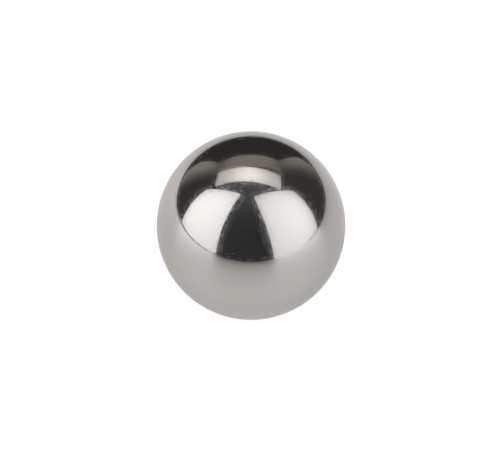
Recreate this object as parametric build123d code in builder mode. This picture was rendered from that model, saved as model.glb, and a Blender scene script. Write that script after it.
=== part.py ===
from build123d import *
import os

# A loose steel ball: one solid sphere, headed from wire, hardened, ground and lapped to a
# mirror finish. It has no flat, hole, seam or parting line.
# Units are millimetres and +Z is up. The origin is the centre of the ball.

os.makedirs("parts", exist_ok=True)

# ---- driving dimension ----
ball_diameter = 25.0

# ---- ball ----
with BuildPart() as ball:
    Sphere(radius=ball_diameter / 2)

ball.part.label = "ball"
export_step(ball.part, "parts/ball.step")
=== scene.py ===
import math

import bpy
import numpy as np
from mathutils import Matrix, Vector


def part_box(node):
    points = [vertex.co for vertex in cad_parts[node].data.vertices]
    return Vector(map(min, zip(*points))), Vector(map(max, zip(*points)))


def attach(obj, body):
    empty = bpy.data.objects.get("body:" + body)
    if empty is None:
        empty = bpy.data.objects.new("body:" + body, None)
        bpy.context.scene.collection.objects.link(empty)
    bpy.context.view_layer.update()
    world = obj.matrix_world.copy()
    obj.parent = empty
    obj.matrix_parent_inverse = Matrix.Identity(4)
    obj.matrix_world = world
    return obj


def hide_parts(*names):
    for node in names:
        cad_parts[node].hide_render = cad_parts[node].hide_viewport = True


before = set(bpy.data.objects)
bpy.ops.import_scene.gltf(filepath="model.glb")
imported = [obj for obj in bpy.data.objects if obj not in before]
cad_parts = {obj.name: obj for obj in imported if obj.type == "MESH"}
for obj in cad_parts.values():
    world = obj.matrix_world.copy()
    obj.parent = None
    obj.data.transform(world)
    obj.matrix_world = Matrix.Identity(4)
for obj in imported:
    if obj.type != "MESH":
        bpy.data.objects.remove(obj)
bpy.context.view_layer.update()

# ---- The ball ----
# One solid sphere of through-hardened chromium steel. It is headed from a slug of wire, flashed,
# hardened, ground, and lapped between iron plates until it mirrors the room. Nothing is fixed to it.

MM = 0.001
MICRON = 0.001 * MM

ball_low, ball_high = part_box("ball")
ball_radius = (ball_high.z - ball_low.z) / 2


def ball_patch(across, up, side):
    """One sixth of a unit sphere: a face of a cube, spread evenly by angle and pushed out to radius 1.

    across and up run from -1 to 1. The point is outward + tan(across * 45 deg) * right
    + tan(up * 45 deg) * top, divided by its own length.
    """
    outward, right = side
    top = np.cross(outward, right)
    point = (
        outward
        + np.tan(across * math.pi / 4)[..., None] * right
        + np.tan(up * math.pi / 4)[..., None] * top
    )
    return point / np.linalg.norm(point, axis=-1, keepdims=True)


def grid_squares(steps):
    """The four corner numbers of each square in a grid of steps squares a side, counted row by row."""
    corner = np.arange((steps + 1) ** 2).reshape(steps + 1, steps + 1)
    around = [corner[:-1, :-1], corner[:-1, 1:], corner[1:, 1:], corner[1:, :-1]]
    return np.stack(around, -1).reshape(-1, 4)


def cube_sphere(name, radius, steps, gutter):
    """A closed sphere of six patches welded along their edges, with steps squares along each edge.

    Each patch has its own cell of a map of 3 by 2 cells, inset by gutter, so that no two faces share
    a place. Points that agree to weld_digits decimals of the radius are one.
    """
    weld_digits = 7
    east, north, high = np.eye(3)
    sides = [(east, north), (-east, -north), (north, -east), (-north, east), (high, east), (-high, -east)]
    line = np.linspace(-1, 1, steps + 1)
    across, up = np.meshgrid(line, line)
    patches = np.array([ball_patch(across, up, side) for side in sides])
    loose = np.concatenate([grid_squares(steps) + k * across.size for k in range(6)])
    rounded = np.round(patches.reshape(-1, 3), weld_digits)
    places, weld = np.unique(rounded, axis=0, return_inverse=True)
    faces = weld.reshape(-1)[loose]
    places *= radius / np.linalg.norm(places, axis=1, keepdims=True)
    mesh = bpy.data.meshes.new(name)
    mesh.from_pydata(places, [], faces)
    mesh.shade_smooth()
    cell = np.stack([across, up], -1).reshape(-1, 2) / 2 * (1 - gutter) + 0.5
    inset = np.concatenate([(cell + (k % 3, k // 3)) / (3, 2) for k in range(6)])
    layer = mesh.uv_layers.new(name="OFBake")
    layer.uv.foreach_set("vector", inset[loose.ravel()].astype(np.float32).ravel())
    mesh.validate()
    mesh.update()
    return bpy.data.objects.new(name, mesh)


def linear(colour):
    """Linear red, green and blue of an sRGB hex colour such as "#c8c5c1"."""
    part = np.array([int(colour[k : k + 2], 16) for k in (1, 3, 5)]) / 255
    return np.where(part <= 0.04045, part / 12.92, ((part + 0.055) / 1.055) ** 2.4)


def add(tree, kind, links=None, **settings):
    """Adds a node to a tree. links fills its inputs, by name or number: a socket is joined, a value set."""
    made = tree.nodes.new("ShaderNode" + kind)
    for name, value in settings.items():
        setattr(made, name, value)
    for name, value in (links or {}).items():
        if isinstance(value, bpy.types.NodeSocket):
            tree.links.new(value, made.inputs[name])
        else:
            made.inputs[name].default_value = value
    return made


def cells_on_ball(tree, place, spacing, seed):
    """Space cut into cells about spacing across, shifted by some millimetres for each seed.

    Gives where a point is within its own cell, and a random colour for the cell.
    """
    shift = [seed * MM * step for step in (7.3, 3.1, 5.7)]
    shifted = add(tree, "VectorMath", {0: place, 1: shift}, operation="ADD").outputs[0]
    inputs = {"Vector": shifted, "Scale": 1 / spacing}
    cells = add(tree, "TexVoronoi", inputs, voronoi_dimensions="3D").outputs
    within = add(tree, "VectorMath", {0: shifted, 1: cells["Position"]}, operation="SUBTRACT").outputs[0]
    return within, cells["Color"]


def hairlines(tree, place, outward, spacing, width, length, seed):
    """Depth, from 0 to 1, of straight fine scratches that lie every way over a ball.

    Each cell holds one scratch through its middle, along the ball's surface in a direction of its own.
    Depth is a smooth step down from the middle to half the width, times the same to half the length.
    """
    within, draw = cells_on_ball(tree, place, spacing, seed)
    aim = add(tree, "VectorMath", {0: draw, 1: (0.5, 0.5, 0.5)}, operation="SUBTRACT").outputs[0]
    along = add(tree, "VectorMath", {0: outward, 1: aim}, operation="CROSS_PRODUCT").outputs[0]
    along = add(tree, "VectorMath", {0: along}, operation="NORMALIZE").outputs[0]
    across = add(tree, "VectorMath", {0: outward, 1: along}, operation="CROSS_PRODUCT").outputs[0]
    shares = []
    for direction, reach in ((across, width / 2), (along, length / 2)):
        far = add(tree, "VectorMath", {0: within, 1: direction}, operation="DOT_PRODUCT").outputs["Value"]
        far = add(tree, "Math", {0: far}, operation="ABSOLUTE").outputs[0]
        inputs = {"Value": far, "From Min": 0.0, "From Max": reach, "To Min": 1.0, "To Max": 0.0}
        shares.append(add(tree, "MapRange", inputs, interpolation_type="SMOOTHSTEP").outputs[0])
    return add(tree, "Math", {0: shares[0], 1: shares[1]}, operation="MULTIPLY").outputs[0]


def pits(tree, place, spacing, width, seed):
    """Depth, from 0 to 1, of small round dents: a smooth step down from a cell's middle to half the width.

    A cell whose middle is further than that from the ball's surface shows none.
    """
    within, _ = cells_on_ball(tree, place, spacing, seed)
    far = add(tree, "VectorMath", {0: within}, operation="LENGTH").outputs["Value"]
    inputs = {"Value": far, "From Min": 0.0, "From Max": width / 2, "To Min": 1.0, "To Max": 0.0}
    return add(tree, "MapRange", inputs, interpolation_type="SMOOTHSTEP").outputs[0]


def lapped_steel():
    """Hardened chromium steel, lapped: a mirror with a warm grey cast, hazed by fine marks from handling.

    Real hairlines are a few microns wide. Here they are 45 to 75 microns wide, and the pits 180, so that
    they show. The hairlines' sides slope by 5 or 6 degrees at their steepest, and the pits' by 9.
    """
    # Spacing, width and length in millimetres and depth in microns, from the coarsest to the finest.
    scratches = [
        (1.10, 0.075, 1.30, 2.1),
        (0.70, 0.065, 0.90, 2.0),
        (0.46, 0.055, 0.62, 1.8),
        (0.30, 0.045, 0.42, 1.6),
    ]
    pit_spacing = 2.20 * MM
    pit_width = 0.180 * MM
    pit_microns = 10.0
    cloud_size = 6 * MM

    material = bpy.data.materials.new("lapped_bearing_steel")
    material.use_nodes = True
    tree = material.node_tree
    surface = tree.nodes["Principled BSDF"]
    place = add(tree, "TexCoord").outputs["Object"]
    outward = add(tree, "VectorMath", {0: place}, operation="NORMALIZE").outputs[0]
    marks = [
        (hairlines(tree, place, outward, spacing * MM, width * MM, length * MM, seed), microns)
        for seed, (spacing, width, length, microns) in enumerate(scratches, 1)
    ]
    marks.append((pits(tree, place, pit_spacing, pit_width, len(scratches) + 1), pit_microns))
    depth = 0.0
    for share, microns in marks:
        depth = add(tree, "Math", {0: share, 1: microns, 2: depth}, operation="MULTIPLY_ADD").outputs[0]
    bump = add(tree, "Bump", {"Height": depth, "Distance": MICRON, "Strength": 1.0}, invert=True)
    cloud = add(tree, "TexNoise", {"Vector": place, "Scale": 1 / cloud_size, "Detail": 3.0}).outputs["Fac"]
    warm, grey = (*linear("#c9c5c0"), 1), (*linear("#c7c5c2"), 1)
    tint = add(tree, "Mix", {"Factor": cloud, "A": warm, "B": grey}, data_type="RGBA")
    inputs = {"Value": cloud, "From Min": 0.3, "From Max": 0.7, "To Min": 0.025, "To Max": 0.06}
    haze = add(tree, "MapRange", inputs)
    tree.links.new(tint.outputs["Result"], surface.inputs["Base Color"])
    tree.links.new(haze.outputs[0], surface.inputs["Roughness"])
    tree.links.new(bump.outputs["Normal"], surface.inputs["Normal"])
    surface.inputs["Metallic"].default_value = 1.0
    return material


ball = cube_sphere("ball_lapped", ball_radius, steps=96, gutter=0.02)
bpy.context.scene.collection.objects.link(ball)
ball.data.materials.append(lapped_steel())
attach(ball, "root")
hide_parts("ball")

# ---- The table ----
# A white acrylic sheet, a metre square, that the ball is set down on. It is matt inside with a satin
# skin, so it mirrors the lamps most at a low angle. The camera sees it as white with a soft shadow.

table_half = 0.5
table_z = ball_low.z


def stretched(name, corners, steps):
    """A sheet stretched between four corners, as a grid of steps squares a side.

    A point is the corners' blend: (1-u)(1-v) of the first, u(1-v) of the second, u v of the third,
    (1-u) v of the fourth. Returns the object with u and v of each point.
    """
    line = np.linspace(0, 1, steps + 1)
    u, v = (part.ravel() for part in np.meshgrid(line, line))
    share = np.stack([(1 - u) * (1 - v), u * (1 - v), u * v, (1 - u) * v], -1)
    mesh = bpy.data.meshes.new(name)
    mesh.from_pydata(share @ np.array(corners, float), [], grid_squares(steps))
    sheet = bpy.data.objects.new(name, mesh)
    bpy.context.scene.collection.objects.link(sheet)
    return sheet, u, v


def white_acrylic():
    """White acrylic: a matt white body under a clear satin skin.

    Light is added to bring it to white for the camera, and less is added where a metal or a glass shows
    it, because a polished ball on such a table mirrors a mid grey. The skin, and a pool of painted light
    that stands for lamp light spilling onto the table, are only in what is mirrored.
    """
    acrylic_ior = 1.49
    satin_roughness = 0.42
    camera_light = 0.68
    mirrored_light = 0.175

    material = bpy.data.materials.new("white_acrylic")
    material.use_nodes = True
    tree = material.node_tree
    tree.nodes.remove(tree.nodes["Principled BSDF"])
    path = add(tree, "LightPath").outputs
    inputs = {0: path["Is Glossy Ray"], 1: path["Is Transmission Ray"]}
    mirrored = add(tree, "Math", inputs, operation="MAXIMUM").outputs[0]
    shown = add(tree, "Math", {0: path["Is Camera Ray"], 1: camera_light}, operation="MULTIPLY").outputs[0]
    inputs = {0: mirrored, 1: mirrored_light, 2: shown}
    shown = add(tree, "Math", inputs, operation="MULTIPLY_ADD").outputs[0]
    matt = add(tree, "BsdfDiffuse", {"Color": (*linear("#f4f4f2"), 1)})
    lit = add(tree, "Emission", {"Color": (1, 1, 1, 1), "Strength": shown})
    body = add(tree, "AddShader", {0: matt.outputs[0], 1: lit.outputs[0]})
    skin = add(tree, "BsdfAnisotropic", {"Color": (1, 1, 1, 1), "Roughness": satin_roughness})
    share = add(tree, "Fresnel", {"IOR": acrylic_ior}).outputs[0]
    share = add(tree, "Math", {0: share, 1: mirrored}, operation="MULTIPLY").outputs[0]
    clean = add(tree, "MixShader", {0: share, 1: body.outputs[0], 2: skin.outputs[0]})
    # Painted light: the pool of spilled lamp light held in the table's glow attribute, shown only when
    # mirrored.
    glow = add(tree, "Attribute", attribute_name="glow").outputs["Color"]
    painted_spill = add(tree, "Emission", {"Color": glow, "Strength": mirrored})
    table = add(tree, "AddShader", {0: clean.outputs[0], 1: painted_spill.outputs[0]})
    tree.links.new(table.outputs[0], tree.nodes["Material Output"].inputs["Surface"])
    return material


def paint(sheet, light):
    """Gives each point of a sheet its own light, as red, green and blue, in an attribute named glow."""
    colour = np.ones((len(light), 4), np.float32)
    colour[:, :3] = light
    sheet.data.attributes.new("glow", "FLOAT_COLOR", "POINT").data.foreach_set("color", colour.ravel())


def painted_spill_light(x, y):
    """A pool of painted light on the table, for lamp light leaking out behind the softboxes: none at the
    ball, and more further away.

    With the distance r from the ball it grows as r squared over (r squared plus reach squared). A part
    of it, broad, lies evenly over the back half. The rest lies towards the back left, as the sixth power
    of the cosine of the angle from there.
    """
    most = 0.48
    reach = 0.1
    broad = 0.35
    back_left_x, back_left_y = -0.866, 0.5
    full_by = 0.25  # the broad part is full where y is a quarter of r, about 14 degrees behind the side
    r = np.hypot(x, y) + 1e-9  # a hair over 0 at the middle, where it divides
    back_left = np.clip((x * back_left_x + y * back_left_y) / r, 0, 1) ** 6
    back = np.clip(y / r / full_by, 0, 1)
    return most * r**2 / (r**2 + reach**2) * (broad * back + (1 - broad) * back_left)


around = ((-1, -1), (1, -1), (1, 1), (-1, 1))
table_corners = [(x * table_half, y * table_half, table_z) for x, y in around]
table, u, v = stretched("table", table_corners, steps=100)
# Painted light: a pool of spilled lamp light is painted into the table's points.
painted_spill = painted_spill_light((2 * u - 1) * table_half, (2 * v - 1) * table_half)
paint(table, painted_spill[:, None] * linear("#fffefa"))
table.data.materials.append(white_acrylic())

# ---- The lamps ----
# Two square softboxes lean in over the table from the front left and the front right, and a white
# sheet hangs overhead, a little behind. Each is brightest near its middle, where its lamp stands.


def toward(azimuth, elevation, distance):
    """The point that far from the ball. Azimuth 0 is the camera's side and grows to its right, in degrees."""
    a, e = math.radians(azimuth), math.radians(elevation)
    return (
        distance * math.sin(a) * math.cos(e),
        -distance * math.cos(a) * math.cos(e),
        distance * math.sin(e),
    )


def glowing_cloth():
    """Cloth or card that sends out the light held in its own glow attribute."""
    material = bpy.data.materials.new("glowing_cloth")
    material.use_nodes = True
    tree = material.node_tree
    tree.nodes.remove(tree.nodes["Principled BSDF"])
    glow = add(tree, "Attribute", attribute_name="glow")
    lit = add(tree, "Emission", {"Color": glow.outputs["Color"], "Strength": 1.0})
    tree.links.new(lit.outputs[0], tree.nodes["Material Output"].inputs["Surface"])
    return material


cloth = glowing_cloth()


def hung(name, corners, glow, steps=24):
    """Hangs a sheet that the camera doesn't see between four corners.

    glow(u, v) gives its light in red, green and blue.
    """
    sheet, u, v = stretched(name, corners, steps)
    paint(sheet, glow(u, v))
    sheet.data.materials.append(cloth)
    sheet.visible_camera = False


def lamp(colour, strength, middle, fall):
    """Light that falls off from a bright middle, given as (u, v).

    It is strength times (1 - fall times the squared distance from the middle), with a fall for each of
    u and v.
    """

    def glow(u, v):
        left = 1 - fall[0] * (u - middle[0]) ** 2 - fall[1] * (v - middle[1]) ** 2
        return strength * left[:, None] * linear(colour)

    return glow


hung(
    "left_softbox",
    [toward(-40, -0.4, 0.50), toward(-94, 0.1, 1.25), toward(-105, 39.5, 1.56), toward(-53, 76, 1.06)],
    lamp("#fffeff", strength=1.65, middle=(0.48, 0.45), fall=(0.50, 0.75)),
)
hung(
    "right_softbox",
    [toward(26, -2, 0.50), toward(87, -0.5, 1.06), toward(101.5, 43, 1.24), toward(13, 77.3, 0.85)],
    lamp("#fcfcff", strength=1.53, middle=(0.45, 0.43), fall=(0.90, 0.75)),
)


def bounced(u, v):
    """Lamp light on a white sheet: a bright band across its middle, over a dim light from pink to grey.

    It is dim + bright times e to the minus square of ((u - middle) / spread), less fade times v squared.
    Its colour goes evenly from pink to grey with u.
    """
    dim = 0.78
    bright = 0.72
    middle = 0.515
    spread = 0.25
    fade = 0.12
    strength = dim + bright * np.exp(-(((u - middle) / spread) ** 2)) - fade * v**2
    pink, grey = linear("#fff5f3"), linear("#fefffc")
    return strength[:, None] * (pink + u[:, None] * (grey - pink))


overhead_height = 1.0
overhead_corners = [(-0.82, 0.23), (0.65, 0.05), (0.62, 0.44), (-0.70, 0.62)]
hung("overhead_sheet", [(x, y, overhead_height) for x, y in overhead_corners], bounced)

# ---- The dark room ----
# The table stands in a small booth. Its walls and ceiling are sheets that send out painted light, a dim
# grey, with painted lamp light on the far ends of the sides and on the ceiling. They only matter as what
# the steel mirrors between the lamps.

booth_left = -1.28
booth_right = 1.07
booth_back = 1.86
booth_front = -2.00
booth_high = 1.65
booth_low = -0.25
front_left, front_right = (booth_left, booth_front), (booth_right, booth_front)
back_left, back_right = (booth_left, booth_back), (booth_right, booth_back)


def rise(value, start, end):
    """0 up to start and 1 from end on, with a smooth step between: 3 t squared - 2 t cubed."""
    part = np.clip((value - start) / (end - start), 0, 1)
    return part * part * (3 - 2 * part)


def wall(name, first, second, glow):
    """A wall that stands between two points on the ground.

    glow(far, high) takes metres along it and metres up from the ball.
    """
    (x1, y1), (x2, y2) = first, second
    length = math.hypot(x2 - x1, y2 - y1)
    tall = booth_high - booth_low
    corners = [(x1, y1, booth_low), (x2, y2, booth_low), (x2, y2, booth_high), (x1, y1, booth_high)]
    hung(name, corners, lambda u, v: glow(u * length, booth_low + v * tall), steps=48)


def side(dim, lit, start, end, foot):
    """A side wall's painted light: dim at the front and painted as lit by the lamps from end metres along it,
    but for a painted dark foot.

    From bright_high up it fades as the square of the height. The foot is a parabola that rises over the
    last foot_length metres of the wall to foot metres high, with an edge soft by foot_soft each way.
    """
    bright_high = 0.35
    fade = 0.55
    fade_height = 1.25
    foot_length = 0.56
    foot_soft = 0.04
    length = booth_back - booth_front

    def glow(far, high):
        up = np.clip((high - bright_high) / fade_height, 0, 1)
        share = rise(far, start, end) * (1 - fade * up**2)
        step = np.clip((far - length + foot_length) / foot_length, 0, 1)
        share *= rise(high - foot * step**2, -foot_soft, foot_soft)
        return linear(dim) + share[:, None] * (linear(lit) - linear(dim))

    return glow


def painted_dim_light(start, end):
    """Painted dim light for a wall, standing for the booth's shade, going evenly from one colour to another
    along it.
    """

    def glow(far, high):
        return linear(start) + (far / far.max())[:, None] * (linear(end) - linear(start))

    return glow


# The side walls' light is painted: dim near the front, brighter at the far ends as if lit by the lamps.
wall("left_wall", front_left, back_left, side("#3e3c3c", "#9f9b95", 2.70, 3.62, foot=0.60))
wall("right_wall", front_right, back_right, side("#42403f", "#979089", 2.75, 3.74, foot=0.45))
# The back and front walls send out painted dim light, for the booth's shade.
wall("back_wall", back_left, back_right, painted_dim_light("#363533", "#363533"))
wall("front_wall", front_right, front_left, painted_dim_light("#373537", "#3b3d41"))


def ceiling_light(u, v):
    """Painted light on the ceiling: dim over the camera, lighter above the ball, then a brown strip and a
    grey-green one with brown ends.

    x and y are metres from the ball. Each colour takes over from the last by a smooth step along y.
    """
    over_camera = linear("#3c3d40")
    over_ball = linear("#56565a")
    strips = (("#8f857f", 0.98), ("#8f8e86", 1.27))  # each strip's colour, and the y at which it starts
    strip_soft = 0.03
    end_colour = linear("#6b615b")
    end_share = 0.85
    x = booth_left + u * (booth_right - booth_left)
    y = booth_front + v * (booth_back - booth_front)
    light = over_camera + rise(y, -1.6, 0.0)[:, None] * (over_ball - over_camera)
    for colour, start in strips:
        light += rise(y, start - strip_soft, start + strip_soft)[:, None] * (linear(colour) - light)
    ends = end_share * rise(abs(x), 0.55, 1.15) * rise(y, 0.9, 1.1)
    light += ends[:, None] * (end_colour - light)
    return light


# The ceiling sends out painted light, darker over the camera and lighter over the ball.
ceiling_corners = [(*corner, booth_high) for corner in (front_left, front_right, back_right, back_left)]
hung("ceiling", ceiling_corners, ceiling_light, steps=96)

# ---- The camera ----
# A long lens looks down on the ball from the front. It aims a little below the ball and to its left,
# so the ball is a little above the middle of the frame.

camera_elevation = math.radians(43)
camera_distance = 0.5
lens_mm = 272
aim_below = 0.94 * MM
aim_left = 0.14 * MM

back = np.array([0, -math.cos(camera_elevation), math.sin(camera_elevation)])
upward = np.array([0, math.sin(camera_elevation), math.cos(camera_elevation)])
eye = back * camera_distance
target = -aim_below * upward - np.array([aim_left, 0, 0])
camera = bpy.data.objects.new("camera", bpy.data.cameras.new("camera"))
bpy.context.scene.collection.objects.link(camera)
camera.data.lens = lens_mm
camera.data.clip_start = 0.01
camera.data.clip_end = 20
camera.location = eye
camera.rotation_euler = Vector(target - eye).to_track_quat("-Z", "Y").to_euler()
bpy.context.scene.camera = camera

# ---- The white surround ----
# Past the table's edge everything is plain white to the camera, and to what mirrors or bends it. It
# sends no light of its own onto the table or the ball, and the booth hides it from the ball.

world = bpy.data.worlds.new("white_surround")
world.use_nodes = True
tree = world.node_tree
path = add(tree, "LightPath").outputs
seen = add(tree, "Math", {0: path["Is Camera Ray"], 1: path["Is Glossy Ray"]}, operation="MAXIMUM")
seen = add(tree, "Math", {0: seen.outputs[0], 1: path["Is Transmission Ray"]}, operation="MAXIMUM")
tree.links.new(seen.outputs[0], tree.nodes["Background"].inputs["Strength"])
tree.nodes["Background"].inputs["Color"].default_value = (1, 1, 1, 1)
bpy.context.scene.world = world
bpy.context.scene.view_settings.view_transform = "Standard"
